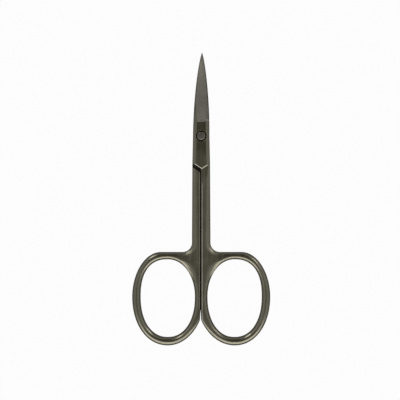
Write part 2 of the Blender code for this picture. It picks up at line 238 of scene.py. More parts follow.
def new_group(name, inputs, outputs, kind="ShaderNodeTree"):
    """An empty node group with named sockets, and its two end nodes."""
    group = bpy.data.node_groups.new(name, kind)
    for socket, (form, value) in inputs.items():
        made = group.interface.new_socket(socket, in_out="INPUT", socket_type=form)
        if value is not None:
            made.default_value = value
    for socket, form in outputs.items():
        group.interface.new_socket(socket, in_out="OUTPUT", socket_type=form)
    tree = Tree(group)
    return tree, tree.add("NodeGroupInput").outputs, tree.add("NodeGroupOutput").inputs


NUMBER = "NodeSocketFloat"
POINT = "NodeSocketVector"


# Effects that the finishes share. Each noise is given by scale, detail and roughness.

RELIEF_NOISE = (1.0, 3.0, 0.65)
STREAK_NOISE = (0.27, 2.0, 0.5)
PATCH_NOISE = (900.0, 3.0, 0.6)
PATCH_SPAN = (0.35, 0.65)
CLOUD_DETAIL = 3.0
CLOUD_ROUGHNESS = 0.55
SCRATCH_NOISE = (1.0, 1.0, 0.4)
SCRATCH_LEVEL = 0.78
SCRATCH_TOP = 0.80
SCRATCH_TURNS = ((0.5, 110.0, 4200.0), (-0.9, 150.0, 5200.0))
BEVEL_SAMPLES = 4


def ring_lay_group():
    """Where a point lies round the nearer finger hole: distance out, way round, and height."""
    tree, given, out = new_group(
        "ring_lay",
        {
            "Point": (POINT, None),
            "Hole Centre": (NUMBER, HOLE_CENTRE),
            "Hole Level": (NUMBER, PIVOT_Y - BOW_LEVEL),
            "Hole Reach": (NUMBER, HOLE_WIDTH / 2),
        },
        {"Lay": POINT},
    )
    x, y, z = tree.xyz(given["Point"])
    across = tree.math("SUBTRACT", tree.math("ABSOLUTE", x), given["Hole Centre"])
    along = tree.math("SUBTRACT", y, given["Hole Level"])
    way = tree.math("MULTIPLY", tree.math("ARCTAN2", along, across), given["Hole Reach"])
    tree.feed(out["Lay"], tree.vector(tree.distance(across, along), way, z))
    return tree.tree


def polish_lines_group():
    """Fine lines left by belt or stone: long one way, close together the other two."""
    tree, given, out = new_group(
        "polish_lines",
        {
            "Point": (POINT, None),
            "Line Length": (NUMBER, 0.006),
            "Line Width": (NUMBER, 0.0002),
        },
        {"Height": NUMBER, "Streak": NUMBER},
    )
    x, y, z = tree.xyz(given["Point"])
    lines = tree.vector(
        tree.math("DIVIDE", x, given["Line Width"]),
        tree.math("DIVIDE", y, given["Line Length"]),
        tree.math("DIVIDE", z, given["Line Width"]),
    )
    tree.feed(out["Height"], tree.noise(lines, *RELIEF_NOISE))
    tree.feed(out["Streak"], tree.noise(lines, *STREAK_NOISE))
    return tree.tree


def edge_wear_group():
    """Where the metal turns sharply, as handling rubs it bright."""
    tree, given, out = new_group(
        "edge_wear",
        {
            "Reach": (NUMBER, 0.0001),
            "Gain": (NUMBER, 4.0),
            "Patchiness": (NUMBER, 0.6),
            "Point": (POINT, None),
        },
        {"Wear": NUMBER},
    )
    reach = {"Radius": given["Reach"]}
    rounded = tree.add("ShaderNodeBevel", reach, samples=BEVEL_SAMPLES).outputs[0]
    flat = tree.add("ShaderNodeNewGeometry").outputs["Normal"]
    alike = tree.add("ShaderNodeVectorMath", {0: rounded, 1: flat}, operation="DOT_PRODUCT")
    turned = tree.math("SUBTRACT", 1.0, alike.outputs["Value"])
    patches = tree.span(tree.noise(given["Point"], *PATCH_NOISE), *PATCH_SPAN, smooth=True)
    kept = tree.mix(given["Patchiness"], 1.0, patches)
    wear = tree.math("MULTIPLY", tree.math("MULTIPLY", turned, given["Gain"]), kept)
    tree.feed(out["Wear"], tree.span(wear, 0.0, 1.0))
    return tree.tree


def handling_group():
    """Broad cloudy unevenness of the plating, and a few hairline scratches."""
    tree, given, out = new_group(
        "handling",
        {
            "Point": (POINT, None),
            "Cloud Width": (NUMBER, 0.004),
            "Scratch Share": (NUMBER, 0.07),
        },
        {"Cloud": NUMBER, "Scratch": NUMBER},
    )
    per_width = tree.math("DIVIDE", 1.0, given["Cloud Width"])
    tree.feed(out["Cloud"], tree.noise(given["Point"], per_width, CLOUD_DETAIL, CLOUD_ROUGHNESS))
    floor = tree.math("SUBTRACT", SCRATCH_LEVEL, given["Scratch Share"])
    found = []
    for turn, per_length, per_breadth in SCRATCH_TURNS:
        spin = {"Vector": given["Point"], "Angle": turn}
        turned = tree.add("ShaderNodeVectorRotate", spin, rotation_type="Z_AXIS").outputs[0]
        stretch = {0: turned, 1: (per_breadth, per_length, per_breadth)}
        stretched = tree.add("ShaderNodeVectorMath", stretch, operation="MULTIPLY").outputs[0]
        found.append(tree.span(tree.noise(stretched, *SCRATCH_NOISE), floor, SCRATCH_TOP))
    tree.feed(out["Scratch"], tree.math("MAXIMUM", *found))
    return tree.tree


GROUPS = {
    "ring_lay": ring_lay_group(),
    "polish_lines": polish_lines_group(),
    "edge_wear": edge_wear_group(),
    "handling": handling_group(),
}


def placed(tree, name, inputs):
    return tree.add("ShaderNodeGroup", inputs, node_tree=GROUPS[name]).outputs


# Finishes

SHANK_LINE_LENGTH = 0.009
RING_LINE_LENGTH = 0.006
FORGING_LINE_WIDTH = 0.00022
WHEEL_LINE_LENGTH = 0.004
WHEEL_LINE_WIDTH = 0.00016
TURNED_LINE_LENGTH = 0.003
TURNED_LINE_WIDTH = 0.00014
TURNED_WAY = 0.002
POLISH_GAIN = 0.11
LAP_POLISH_SPAN = (0.0125, 0.0165)
WEB_POLISH_SPAN = (0.004, 0.009)
SIDE_POLISH_SPAN = (0.015, 0.019)
BAR_POLISH_RUN = 0.001
TONE_SPAN = (0.35, 0.65)
NOISE_SPAN = (0.3, 0.7)
STREAK_SHARE = 0.6
STREAK_ROUGHNESS = 0.03
CLOUDY_ROUGHNESS = 0.025
WEAR_POLISH = 0.06
SCRATCH_BARENESS = 0.35
SCRATCH_DEPTH = 0.5
SOFT_EDGE_RADIUS = 0.00008
GLANCING_TINT = (0.4, 0.39, 0.36, 1)


def polish_lines(tree, point, length, width):
    lines = placed(
        tree, "polish_lines", {"Point": point, "Line Length": length, "Line Width": width}
    )
    return lines["Height"], lines["Streak"]


def lengthwise_lay(tree, point):
    """Lines along the shank that turn to run round the finger ring. Lap and ring are smoother."""
    straight = polish_lines(tree, point, SHANK_LINE_LENGTH, FORGING_LINE_WIDTH)
    ring_point = placed(tree, "ring_lay", {"Point": point})["Lay"]
    curved = polish_lines(tree, ring_point, RING_LINE_LENGTH, FORGING_LINE_WIDTH)
    x, y, z = tree.xyz(point)
    bar_top = PIVOT_Y - BAR_LEVEL
    on_ring = tree.span(y, bar_top, PIVOT_Y - BOW_LEVEL + HOLE_RISE / 2, smooth=True)
    height, streak = (tree.mix(on_ring, a, b) for a, b in zip(straight, curved))

    aside = tree.math("ABSOLUTE", x)
    past_web = tree.span(aside, *WEB_POLISH_SPAN, smooth=True)
    before_side = tree.span(aside, *SIDE_POLISH_SPAN, 1.0, 0.0, smooth=True)
    below_bar = tree.span(y, bar_top + BAR_POLISH_RUN, bar_top, smooth=True)
    on_bow = tree.math("MULTIPLY", below_bar, tree.math("MULTIPLY", past_web, before_side))
    on_lap = tree.span(y, *LAP_POLISH_SPAN, smooth=True)
    return height, streak, tree.math("MAXIMUM", on_bow, on_lap)


def crosswise_lay(tree, point):
    """Lines from spine to edge, as the wheel leaves them."""
    x, y, z = tree.xyz(point)
    turned = tree.vector(y, x, z)
    height, streak = polish_lines(tree, turned, WHEEL_LINE_LENGTH, WHEEL_LINE_WIDTH)
    return height, streak, 0.0


def round_lay(tree, point):
    """Lines round the rivet, as lapping and turning leave them."""
    x, y, z = tree.xyz(point)
    along = tree.math("SUBTRACT", y, PIVOT_Y)
    way = tree.math("MULTIPLY", tree.math("ARCTAN2", along, x), TURNED_WAY)
    turned = tree.vector(tree.distance(x, along), way, z)
    height, streak = polish_lines(tree, turned, TURNED_LINE_LENGTH, TURNED_LINE_WIDTH)
    return height, streak, 0.0


def gunmetal(name, lay, dark, light, bare, roughness, line_depth, wear_gain):
    """Plated steel in two tones, with fine lines in relief and bare steel where it is rubbed."""
    material = bpy.data.materials.new(name)
    material.use_nodes = True
    tree = Tree(material.node_tree)
    shader = material.node_tree.nodes["Principled BSDF"]
    point = tree.add("ShaderNodeTexCoord").outputs["Object"]
    height, streak, polished = lay(tree, point)
    handling = placed(tree, "handling", {"Point": point})
    cloud, scratch = handling["Cloud"], handling["Scratch"]
    wear = placed(tree, "edge_wear", {"Point": point, "Gain": wear_gain})["Wear"]

    tone = tree.mix(STREAK_SHARE, cloud, streak)
    plated = tree.mix_colour(tree.span(tone, *TONE_SPAN), dark, light)
    rubbed = tree.math("MAXIMUM", wear, tree.math("MULTIPLY", scratch, SCRATCH_BARENESS))
    tree.feed(shader.inputs["Base Color"], tree.mix_colour(rubbed, plated, bare))

    smoothest, roughest = roughness - STREAK_ROUGHNESS, roughness + STREAK_ROUGHNESS
    streaked = tree.span(streak, *NOISE_SPAN, smoothest, roughest)
    clouded = tree.span(cloud, *NOISE_SPAN, -CLOUDY_ROUGHNESS, CLOUDY_ROUGHNESS)
    rough = tree.math("ADD", streaked, clouded)
    rough = tree.math("SUBTRACT", rough, tree.math("MULTIPLY", polished, POLISH_GAIN))
    rough = tree.math("SUBTRACT", rough, tree.math("MULTIPLY", wear, WEAR_POLISH))
    tree.feed(shader.inputs["Roughness"], rough)

    soft = {"Radius": SOFT_EDGE_RADIUS}
    relief = {
        "Height": tree.math("SUBTRACT", height, tree.math("MULTIPLY", scratch, SCRATCH_DEPTH)),
        "Distance": line_depth,
        "Strength": 1.0,
        "Normal": tree.add("ShaderNodeBevel", soft, samples=BEVEL_SAMPLES).outputs[0],
    }
    tree.feed(shader.inputs["Normal"], tree.add("ShaderNodeBump", relief).outputs[0])
    shader.inputs["Metallic"].default_value = 1.0
    shader.inputs["Specular Tint"].default_value = GLANCING_TINT
    return material


SATIN = gunmetal(
    "satin_gunmetal_forging",
    lengthwise_lay,
    dark=(0.185, 0.173, 0.128, 1),
    light=(0.216, 0.204, 0.157, 1),
    bare=(0.40, 0.38, 0.33, 1),
    roughness=0.27,
    line_depth=0.000008,
    wear_gain=3.0,
)
GROUND = gunmetal(
    "ground_blade_face",
    crosswise_lay,
    dark=(0.180, 0.169, 0.143, 1),
    light=(0.208, 0.196, 0.167, 1),
    bare=(0.45, 0.44, 0.39, 1),
    roughness=0.34,
    line_depth=0.000004,
    wear_gain=3.0,
)
LAPPED = gunmetal(
    "lapped_mating_face",
    round_lay,
    dark=(0.200, 0.190, 0.160, 1),
    light=(0.235, 0.224, 0.190, 1),
    bare=(0.45, 0.44, 0.39, 1),
    roughness=0.28,
    line_depth=0.000004,
    wear_gain=2.0,
)
RIVET = gunmetal(
    "turned_rivet_steel",
    round_lay,
    dark=(0.142, 0.139, 0.115, 1),
    light=(0.174, 0.170, 0.142, 1),
    bare=(0.43, 0.42, 0.36, 1),
    roughness=0.33,
    line_depth=0.000005,
    wear_gain=3.0,
)
# Near-black steel, painted shade: put on the open notch and the rivet seats, where the recess lies
# in shade.
PAINTED_BLACK_SHADE = gunmetal(
    "painted_black_shade_recess",
    round_lay,
    dark=(0.030, 0.027, 0.019, 1),
    light=(0.055, 0.050, 0.036, 1),
    bare=(0.20, 0.19, 0.16, 1),
    roughness=0.55,
    line_depth=0.000008,
    wear_gain=0.6,
)
# Darker steel, painted shade: on the closing faces, where the groove between the halves lies in
# shade, and on the spine's land and chamfers.
PAINTED_DIM_SHADE = gunmetal(
    "plated_steel_painted_shade",
    lengthwise_lay,
    dark=(0.075, 0.070, 0.052, 1),
    light=(0.105, 0.098, 0.073, 1),
    bare=(0.25, 0.235, 0.19, 1),
    roughness=0.42,
    line_depth=0.000008,
    wear_gain=0.8,
)
# Lighter steel, a painted highlight: on the ledge and in a band beside the closing face, where
# light catches the edges.
PAINTED_HIGHLIGHT = gunmetal(
    "steel_painted_highlight",
    lengthwise_lay,
    dark=(0.300, 0.285, 0.235, 1),
    light=(0.360, 0.342, 0.290, 1),
    bare=(0.45, 0.44, 0.39, 1),
    roughness=0.34,
    line_depth=0.000004,
    wear_gain=3.0,
)
FINISHES = (SATIN, GROUND, LAPPED, PAINTED_BLACK_SHADE, PAINTED_DIM_SHADE, PAINTED_HIGHLIGHT)


# Outline of a half, in the plane, round the pivot. Its closing face lies at x = face.


def spine_distance(y):
    share = min(max(y / BLADE_REACH, 0), 1)
    return LAP_HALF_WIDTH * (1 - share**TAPER_POWER) ** POINT_POWER


def edge_distance(y):
    share = min(max((y - GRIND_START) / EDGE_RUN_IN, 0), 1)
    ease = share * share * (3 - 2 * share)
    return spine_distance(y) * (1 - EDGE_SETBACK_SHARE * ease)


def blade_levels():
    plain = [BLADE_REACH * math.sin(math.pi / 2 * i / EDGE_STEPS) for i in range(EDGE_STEPS + 1)]
    run_in = [GRIND_START + EDGE_RUN_IN * i / ROUND_STEPS for i in range(ROUND_STEPS + 1)]
    kept = [y for y in plain if not run_in[0] - EDGE_RUN_IN / 4 < y < run_in[-1] + EDGE_RUN_IN / 4]
    return sorted(kept + run_in)


def blade_round(y):
    """The lap's broad rounding, which soon gives way to a narrow one along the blade."""
    share = min(max((y - SPINE_ROUND_START) / SPINE_ROUND_RUN, 0), 1)
    left = spine_distance(y) / LAP_HALF_WIDTH
    return tuple((a + (b - a) * share) * left for a, b in zip(ROUND_EDGE, ROUND_SPINE))


def quarter(centre, half_width, half_height, power, start, end):
    points = []
    for i in range(QUARTER_STEPS + 1):
        angle = math.radians(start + (end - start) * i / QUARTER_STEPS)
        across = math.copysign(abs(math.cos(angle)) ** (2 / power), math.cos(angle))
        up = math.copysign(abs(math.sin(angle)) ** (2 / power), math.sin(angle))
        points.append(Vector((centre[0] + half_width * across, centre[1] + half_height * up)))
    return points


def run(points, first, last):
    """One stretch of outline, with a rounding that changes evenly from the first to the last."""
    count = len(points) - 1
    rounds = []
    for i in range(count + 1):
        share = i / count
        rounds.append(tuple(a + (b - a) * share for a, b in zip(first, last)))
    return points, rounds


def rim_round(rim):
    return (BOW_ROUND_SHARE * rim, BOW_ROUND_HEIGHT_SHARE * THICKNESS)


def own_leg(x, face):
    """Level of the ledge's leg that runs down to the closing face from the half's own side."""
    return -LEDGE_REACH - LEDGE_SLOPE * (x - face)


def other_ledge(face):
    """Level at which the other half's ledge crosses the middle."""
    return -LEDGE_REACH + LEDGE_SLOPE * (face + CLOSING_GAP)


def half_outline(closing, face):
    levels = blade_levels()
    shank_side = own_leg(-SHANK_SPREAD_TOP, face)
    ledge_side = own_leg(2 * face - SHANK_SPREAD_TOP, face)
    fillet_centre = Vector((-SHANK_SPREAD_FOOT - FILLET_RADIUS, -BAR_LEVEL + FILLET_RADIUS))
    widest = (-HOLE_CENTRE, -BOW_LEVEL)
    corner = Vector((face - CORNER_RELIEF, -BOW_LEVEL - CORNER_DROP))
    foot_drop = HOLE_DROP + RIM_FOOT
    corner_angle = -math.degrees(math.asin(CORNER_DROP / foot_drop))
    inner_width = (HOLE_CENTRE + corner.x) / math.cos(math.radians(corner_angle))
    corner_mid_angle = (corner_angle * 2 - 90) / 3

    edge_points = [Vector((-edge_distance(y), y)) for y in reversed(levels)]
    edge_rounds = [blade_round(y) for y in reversed(levels)]
    spine_points = [Vector((spine_distance(y), y)) for y in levels]
    spine_rounds = [blade_round(y) for y in levels]
    lap_side = [Vector((-LAP_HALF_WIDTH, 0)), Vector((-SHANK_SPREAD_TOP, shank_side))]
    shank = [lap_side[-1], Vector((-SHANK_SPREAD_FOOT, fillet_centre.y))]
    fillet = quarter(fillet_centre, FILLET_RADIUS, FILLET_RADIUS, 2, 0, -90)
    bar_root = [fillet[-1], Vector((-FOOT_ROUND_END, -BAR_LEVEL))]
    bar = [bar_root[-1], Vector((-TOP_BAR_REACH, -BAR_LEVEL))]
    shoulder = quarter(
        (-TOP_BAR_REACH, -BOW_LEVEL),
        BOW_SPREAD - TOP_BAR_REACH,
        HOLE_RISE + RIM_TOP,
        BOW_CORNER_POWER,
        90,
        180,
    )
    outer_foot = quarter(widest, HOLE_WIDTH / 2 + RIM_SIDE, foot_drop, OUTER_FOOT_POWER, 180, 270)
    inner_foot = quarter(widest, inner_width, foot_drop, BOW_POWER, -90, corner_mid_angle)
    last_foot = quarter(widest, inner_width, foot_drop, BOW_POWER, corner_mid_angle, corner_angle)
    land_end = Vector((face, -BOW_LEVEL - LAND_DROP))
    point = Vector((face, -LEDGE_REACH))
    ledge_corner = Vector((SHANK_SPREAD_TOP, ledge_side))
    return [
        (edge_points, edge_rounds),
        run(lap_side, ROUND_EDGE, ROUND_EDGE),
        run(shank, ROUND_EDGE, ROUND_FOOT),
        run(fillet, ROUND_FOOT, ROUND_FOOT),
        run(bar_root, ROUND_FOOT, rim_round(RIM_TOP)),
        run(bar, rim_round(RIM_TOP), rim_round(RIM_TOP)),
        run(shoulder, rim_round(RIM_TOP), rim_round(RIM_SIDE)),
        run(outer_foot, rim_round(RIM_SIDE), rim_round(RIM_FOOT)),
        run(inner_foot, rim_round(RIM_FOOT), rim_round(RIM_FOOT)),
        run(last_foot, rim_round(RIM_FOOT), closing),
        run([corner, land_end], closing, closing),
        run([land_end, point], closing, closing),
        run([point, ledge_corner], ROUND_LEDGE, ROUND_LEDGE),
        run([ledge_corner, spine_points[0]], ROUND_EDGE, ROUND_EDGE),
        (spine_points, spine_rounds),
    ]


def hole_outline():
    centre = (-HOLE_CENTRE, -BOW_LEVEL)
    half_width = HOLE_WIDTH / 2
    side, top, foot = rim_round(RIM_SIDE), rim_round(RIM_TOP), rim_round(RIM_FOOT)
    inner = (INNER_ROUND, BOW_ROUND_HEIGHT_SHARE * THICKNESS)
    web = (WEB_ROUND, WEB_ROUND_HEIGHT)
    return [
        run(quarter(centre, half_width, HOLE_RISE, HOLE_CORNER_POWER, 180, 90), side, top),
        run(quarter(centre, half_width, HOLE_RISE, HOLE_POWER, 90, WEB_START), top, top),
        run(quarter(centre, half_width, HOLE_RISE, HOLE_POWER, WEB_START, WEB_MIDDLE), top, web),
        run(quarter(centre, half_width, HOLE_RISE, HOLE_POWER, WEB_MIDDLE, WEB_END), web, inner),
        run(quarter(centre, half_width, HOLE_RISE, HOLE_POWER, WEB_END, 0), inner, inner),
        run(quarter(centre, half_width, HOLE_DROP, HOLE_FOOT_POWER, 0, -90), inner, foot),
        run(quarter(centre, half_width, HOLE_DROP, HOLE_FOOT_POWER, -90, -180), foot, side),
    ]


# Forging blank


def left_of(a, b):
    way = (b - a).normalized()
    return Vector((-way.y, way.x))


def inward_shift(before, after, width_before, width_after):
    """The shift from a point to one width inside the stretch before and another inside the next."""
    alike = before.dot(after)
    mean = (width_before + width_after) / 2
    shift = mean * (before + after) / (1 + alike) if mean else Vector((0, 0))
    if abs(width_after - width_before) > MERGE_DISTANCE:
        shift += (width_after - width_before) / 2 * (after - before) / (1 - alike)
    return shift


def joined(runs):
    """All runs as one closed loop of (point, inward shift, rounding height)."""
    loop = []
    for (last_points, last_rounds), (points, rounds) in zip(runs[-1:] + runs[:-1], runs):
        for i in range(len(points) - 1):
            previous = points[i - 1] if i else last_points[-2]
            round_before = rounds[i] if i else last_rounds[-1]
            before = left_of(previous, points[i])
            after = left_of(points[i], points[i + 1])
            shift = inward_shift(before, after, round_before[0], rounds[i][0])
            loop.append((points[i], shift, (round_before[1] + rounds[i][1]) / 2))
    return loop


def bridge(bm, rings):
    verts = [[bm.verts.new(co) for co in ring] for ring in rings]
    for low, high in zip(verts, verts[1:]):
        for i in range(len(low)):
            bm.faces.new((low[i - 1], low[i], high[i], high[i - 1]))
    return verts


def rounded_ring(loop, turn):
    """One ring of the rounding, as points and how far each lies from the flat face."""
    inward, down = 1 - math.cos(turn), 1 - math.sin(turn)
    return [(*(point + shift * inward), high * down) for point, shift, high in loop]


def add_wall(bm, outer_loop, mating_loop):
    """The side of the blank along one loop, rounded at its outer and its mating face."""
    turns = [math.pi / 2 * i / ROUND_STEPS for i in range(ROUND_STEPS + 1)]
    rings = [rounded_ring(outer_loop, turn) for turn in reversed(turns)]
    for turn in turns:
        rings.append([(x, y, THICKNESS - z) for x, y, z in rounded_ring(mating_loop, turn)])
    bridge(bm, rings)


def mesh_object(name, bm, materials=()):
    bmesh.ops.recalc_face_normals(bm, faces=bm.faces)
    mesh = bpy.data.meshes.new(name)
    bm.to_mesh(mesh)
    bm.free()
    for material in materials:
        mesh.materials.append(material)
    obj = bpy.data.objects.new(name, mesh)
    bpy.context.scene.collection.objects.link(obj)
    return obj


def wall_finish(place, face):
    """Painted shade on closing face and spine, a painted highlight on the ledge and beside the
    closing face.
    """
    shade_band, near, far = FACE_CLOSING_BANDS if place.z < THICKNESS / 2 else CLOSING_BANDS
    depth = face - place.x
    on_shank = place.y < -LEDGE_REACH
    on_spine = place.x > 0 and place.y > SPINE_ROUND_START + SPINE_ROUND_RUN
    on_ledge = place.x > face and place.y < own_leg(2 * face - place.x, face) + LEDGE_ROUND
    if on_spine or (on_shank and depth < shade_band):
        return PAINTED_DIM_SHADE
    if on_ledge or (on_shank and near < depth < far):
        return PAINTED_HIGHLIGHT
    return SATIN


def forging_blank(name, face):
    bm = bmesh.new()
    face_closing = (FACE_CLOSING_SHARE * (RIM_INNER + face), FACE_CLOSING_ROUND_HEIGHT)
    outer, mating = half_outline(face_closing, face), half_outline(ROUND_CLOSING, face)
    add_wall(bm, joined(outer), joined(mating))
    hole = joined(hole_outline())
    add_wall(bm, hole, hole)
    bmesh.ops.remove_doubles(bm, verts=bm.verts, dist=MERGE_DISTANCE)
    for side in bm.faces:
        side.material_index = FINISHES.index(wall_finish(side.calc_center_median(), face))
    for level in (0, THICKNESS):
        rims = [
            edge
            for edge in bm.edges
            if edge.is_boundary and all(abs(v.co.z - level) < MERGE_DISTANCE for v in edge.verts)
        ]
        bmesh.ops.triangle_fill(bm, use_beauty=True, edges=rims, normal=(0, 0, 1))
    return mesh_object(name, bm, FINISHES)


# Cutters, each with the finish that it leaves, some of them painted shade


def loft(sections):
    bm = bmesh.new()
    verts = bridge(bm, sections)
    bm.faces.new(verts[0])
    bm.faces.new(verts[-1])
    return bm


def cylinder(radius, low, high, steps):
    bm = bmesh.new()
    bmesh.ops.create_cone(
        bm,
        cap_ends=True,
        segments=steps,
        radius1=radius,
        radius2=radius,
        depth=high - low,
        matrix=Matrix.Translation((0, 0, (low + high) / 2)),
    )
    return bm


def slanted_tool(near, far, floor):
    """A block over the mating side whose near end, and any far end, slant as the ledge does."""
    side = LAP_HALF_WIDTH + SHANK_SPREAD_TOP
    rise = LEDGE_SLOPE * side
    end = BLADE_REACH + OVERRUN
    outline = [
        (-side, near + rise),
        (side, near - rise),
        (side, end if far is None else far - rise),
        (-side, end if far is None else far + rise),
    ]
    return loft([[(x, y, z) for x, y in outline] for z in (floor, THICKNESS + OVERRUN)])


def notch_mill(face):
    """The open notch between this half's shoulder and the other half's ledge, whose faces get
    near-black painted shade.
    """
    ledge = other_ledge(face)
    return slanted_tool(ledge - NOTCH_DROP, ledge + NOTCH_UNDER, LAP_THICKNESS - NOTCH_SINK)


def mating_recess(face):
    """Takes the upper half of the thickness off lap and blade."""
    return slanted_tool(other_ledge(face) + NOTCH_UNDER - OVERRUN / 4, None, LAP_THICKNESS)


def ground_level(x, y):
    strip = STRIP_SHARE * LAP_HALF_WIDTH
    edge = edge_distance(GRIND_START + EDGE_RUN_IN)
    across = (LAP_THICKNESS - EDGE_THICKNESS) / (strip + edge)
    along = (LAP_THICKNESS - TIP_THICKNESS - across * strip) / (BLADE_REACH - GRIND_START)
    return across * (strip - x) + along * (y - GRIND_START)


def spine_land(y):
    """Where the level land along the spine starts, and its level."""
    start = spine_distance(y) - SPINE_LAND
    return start, ground_level(start, y)


def spine_break(y):
    """Width of the steep chamfers along the spine, less where the blade is thin."""
    thickness = LAP_THICKNESS - spine_land(y)[1]
    return min(SPINE_BREAK, BREAK_SHARE * thickness / math.tan(BREAK_ANGLE))


def face_grind():
    """The wheel's cut on the outer face: a leaning step, the slope, and a land along the spine."""
    side = LAP_HALF_WIDTH + OVERRUN
    step_foot = GRIND_START + GRIND_LEAN_SHARE * ground_level(-side, GRIND_START)
    levels = [GRIND_START] + [y for y in blade_levels() if y > step_foot] + [BLADE_REACH + OVERRUN]
    sections = []
    for y in levels:
        land_start, land = spine_land(y)
        lean = GRIND_LEAN_SHARE if y == GRIND_START else 0
        slope = [(side, land), (land_start, land), (-side, ground_level(-side, y))]
        profile = [(-side, -THICKNESS), (side, -THICKNESS), *slope]
        sections.append([(x, y + lean * z, z) for x, z in profile])
    return loft(sections)


def spine_stone(mating):
    """A long wedge that breaks the spine's corner on the mating side or on the ground side."""
    slope = math.tan(BREAK_ANGLE)
    inward = -1 if mating else 1
    starts = [(GRIND_START, spine_distance(GRIND_START) + SPINE_BREAK)]
    for y in blade_levels() + [BLADE_REACH + OVERRUN]:
        if y > GRIND_START + EDGE_RUN_IN:
            starts.append((y, spine_distance(y) - spine_break(y)))
    sections = []
    for y, corner in starts:
        level = LAP_THICKNESS if mating else spine_land(y)[1]
        outside = spine_distance(y) + OVERRUN
        above = level - inward * OVERRUN
        deep = level + inward * (outside - corner) * slope
        wedge = [(corner - OVERRUN / slope, above), (outside, above), (outside, deep)]
        sections.append([(x, y, z) for x, z in wedge])
    return loft(sections)


def shank_relief(face):
    """Lowers the shank's outer face at the ledge's own leg and soon runs out to nothing."""
    step_run = LEDGE_RUN_SHARE * LEDGE_STEP
    sections = []
    for x in (-SHANK_SPREAD_FOOT - OVERRUN, face + OVERRUN):
        leg = own_leg(x, face)
        wedge = [
            (leg + step_run, -LEDGE_STEP),
            (leg - step_run, LEDGE_STEP),
            (leg - 2 * RELIEF_LENGTH, -LEDGE_STEP),
        ]
        sections.append([(x, y, z) for y, z in wedge])
    return loft(sections)


def edge_bevel():
    """A long wedge along the cutting edge, on its outer side."""
    step_foot = GRIND_START + GRIND_LEAN_SHARE * (LAP_THICKNESS - EDGE_THICKNESS)
    levels = [step_foot] + [y for y in blade_levels() if y > step_foot]
    points = [Vector((-edge_distance(y), y)) for y in levels]
    points.append(points[-1] + (points[-1] - points[-2]).normalized() * OVERRUN)
    deep = EDGE_THICKNESS + OVERRUN
    slope = math.tan(EDGE_ANGLE)
    top = LAP_THICKNESS - EDGE_LAND
    sections = []
    for i, point in enumerate(points):
        before, after = points[max(i - 1, 0)], points[min(i + 1, len(points) - 1)]
        running_in = point.y < GRIND_START + EDGE_RUN_IN
        out = Vector((-1, 0)) if running_in else left_of(before, after)
        outside, inside = point + out * OVERRUN, point - out * deep
        sections.append(
            [
                (*outside, top + OVERRUN * slope),
                (*inside, top - deep * slope),
                (*outside, top - deep * slope),
            ]
        )
    return loft(sections)


def hollow_grind():
    """A large cylinder laid along the mating face, shallower toward the tip."""
    start_x = (spine_distance(HOLLOW_START) - edge_distance(HOLLOW_START)) / 2
    start = Vector((start_x, HOLLOW_START, LAP_THICKNESS + HOLLOW_RADIUS - HOLLOW_DEPTH))
    end = Vector((0, BLADE_REACH * HOLLOW_END_SHARE, LAP_THICKNESS + HOLLOW_RADIUS))
    bm = cylinder(HOLLOW_RADIUS, 0, BLADE_REACH, HOLLOW_STEPS)
    turn = (end - start).to_track_quat("Z", "X").to_matrix().to_4x4()
    bm.transform(Matrix.Translation(start) @ turn)
    return bm


def turned_tool(profile):
    """A closed body turned about the pivot from (radius, height) points."""
    rings = []
    for radius, level in profile:
        turns = [2 * math.pi * i / TURN_STEPS for i in range(TURN_STEPS)]
        rings.append([(radius * math.cos(turn), radius * math.sin(turn), level) for turn in turns])
    return loft(rings)


def rivet_seat(diameter, thickness):
    """Room for a head or tail, with a shallow dished mouth."""
    radius, floor = diameter / 2, FACE_INSET + thickness + SEAT_CLEARANCE
    mouth = [(radius + 2 * MOUTH_WIDTH, -MOUTH_DEPTH), (radius, MOUTH_DEPTH)]
    return turned_tool([*mouth, (radius, floor)])


def rivet_bore():
    radius = RIVET_DIAMETER / 2 + SEAT_CLEARANCE
    return cylinder(radius, -OVERRUN, THICKNESS + OVERRUN, TURN_STEPS)


def baked(obj, tools=()):
    """The object's mesh as its modifiers make it. The tools are removed."""
    bpy.context.view_layer.update()
    evaluated = obj.evaluated_get(bpy.context.evaluated_depsgraph_get())
    mesh = bpy.data.meshes.new_from_object(evaluated)
    obj.modifiers.clear()
    obj.data = mesh
    mesh.name = obj.name
    for tool in tools:
        bpy.data.objects.remove(tool)


def cut(obj, cutters):
    """Cuts with one tool after the other, each time from flat facets, which keeps seams closed."""
    for cutter in cutters:
        obj.modifiers.new("facets", "TRIANGULATE")
        modifier = obj.modifiers.new(cutter.name, "BOOLEAN")
        modifier.operation = "DIFFERENCE"
        modifier.solver = "EXACT"
        modifier.material_mode = "TRANSFER"
        modifier.object = cutter
    baked(obj, cutters)


# Curving the blades


